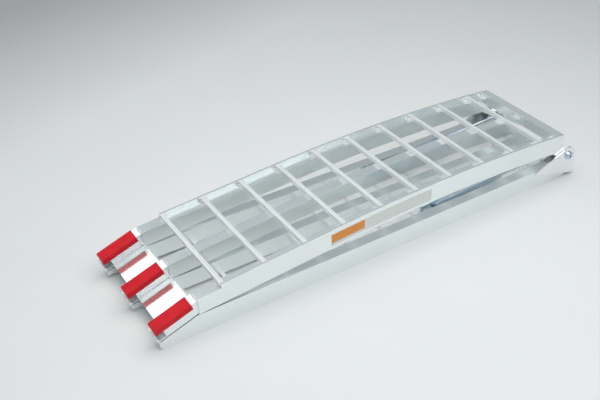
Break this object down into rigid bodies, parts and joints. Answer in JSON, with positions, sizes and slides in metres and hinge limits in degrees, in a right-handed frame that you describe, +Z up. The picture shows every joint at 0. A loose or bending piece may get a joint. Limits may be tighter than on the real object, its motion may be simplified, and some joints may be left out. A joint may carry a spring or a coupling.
{
  "type": "folding arched loading ramp",
  "caption": "Arched aluminium ladder ramp that folds in half on a side-plate hinge, with padded tongue fingers and adjustable support legs.",
  "frame": {"origin": "on the floor, under the middle of the folded ramp's bounding box", "axes": "+X along the ramp from the tongue to the hinge, +Y across it away from the labelled side, +Z up; stored folded"},
  "size_m": [1.1928, 0.299, 0.1444],
  "materials": {
    "rail_aluminium": "satin, extruded",
    "rung_aluminium": "satin, extruded",
    "bar_aluminium": "satin, extruded",
    "sheet_aluminium": "bright mill finish",
    "zinc_steel": "bright blue zinc plating",
    "zinc_tube": "bright zinc plating",
    "red_cap": "semi-gloss",
    "label_orange": "gloss vinyl",
    "label_pale": "gloss vinyl"
  },
  "bodies": {
    "lower": {"hinge_bolts": "zinc_steel", "hinge_nuts": "zinc_steel", "hinge_plate_inner_far": "sheet_aluminium", "hinge_plate_inner_near": "sheet_aluminium", "hinge_plate_outer_far": "sheet_aluminium", "hinge_plate_outer_near": "sheet_aluminium", "lower_end_bar": "bar_aluminium", "lower_rail_far": "rail_aluminium", "lower_rail_middle": "rail_aluminium", "lower_rail_near": "rail_aluminium", "lower_rung_01": "rung_aluminium", "lower_rung_02": "rung_aluminium", "lower_rung_03": "rung_aluminium", "lower_rung_04": "rung_aluminium", "lower_rung_05": "rung_aluminium", "lower_rung_06": "rung_aluminium", "lower_rung_07": "rung_aluminium", "lower_rung_08": "rung_aluminium", "lower_rung_09": "rung_aluminium", "lower_rung_10": "rung_aluminium", "lower_rung_11": "rung_aluminium"},
    "upper": {"label_block": "label_orange", "label_panel": "label_pale", "tongue_cap_far": "red_cap", "tongue_cap_middle": "red_cap", "tongue_cap_near": "red_cap", "tongue_finger_far": "rail_aluminium", "tongue_finger_middle": "rail_aluminium", "tongue_finger_near": "rail_aluminium", "tongue_pan_far": "sheet_aluminium", "tongue_pan_near": "sheet_aluminium", "upper_bracket_far": "rail_aluminium", "upper_bracket_near": "rail_aluminium", "upper_end_bar": "bar_aluminium", "upper_rail_far": "rail_aluminium", "upper_rail_middle": "rail_aluminium", "upper_rail_near": "rail_aluminium", "upper_rung_01": "rung_aluminium", "upper_rung_02": "rung_aluminium", "upper_rung_03": "rung_aluminium", "upper_rung_04": "rung_aluminium", "upper_rung_05": "rung_aluminium", "upper_rung_06": "rung_aluminium", "upper_rung_07": "rung_aluminium", "upper_rung_08": "rung_aluminium", "upper_rung_09": "rung_aluminium", "upper_rung_10": "rung_aluminium"},
    "leg_near_rod": {"leg_rod_near": "zinc_steel"},
    "leg_far_rod": {"leg_rod_far": "zinc_steel"},
    "leg_near_foot": {"leg_tube_near": "zinc_tube", "leg_lock_nut_near": "zinc_steel"},
    "leg_far_foot": {"leg_tube_far": "zinc_tube", "leg_lock_nut_far": "zinc_steel"}
  },
  "joints": [
    {"name": "fold", "type": "hinge", "parent": "lower", "child": "upper", "pos_m": [0.56378, 0, 0.06504], "axis": [0, 1, 0], "range_deg": [0, 176.03]},
    {"name": "leg_near_swing", "type": "hinge", "parent": "lower", "child": "leg_near_rod", "pos_m": [0.56378, 0, 0.06504], "axis": [0, 1, 0], "range_deg": [0, 88.06]},
    {"name": "leg_near_extend", "type": "slide", "parent": "leg_near_rod", "child": "leg_near_foot", "axis": [-0.9986, 0, -0.0523], "range_m": [0, 0.06]},
    {"name": "leg_far_swing", "type": "hinge", "parent": "lower", "child": "leg_far_rod", "pos_m": [0.56378, 0, 0.06504], "axis": [0, 1, 0], "range_deg": [0, 88.06]},
    {"name": "leg_far_extend", "type": "slide", "parent": "leg_far_rod", "child": "leg_far_foot", "axis": [-0.9986, 0, -0.0523], "range_m": [0, 0.06]}
  ],
  "couplings": [
    {"joint": "leg_near_swing", "follows": "fold", "ratio": 0.5},
    {"joint": "leg_far_swing", "follows": "fold", "ratio": 0.5}
  ]
}
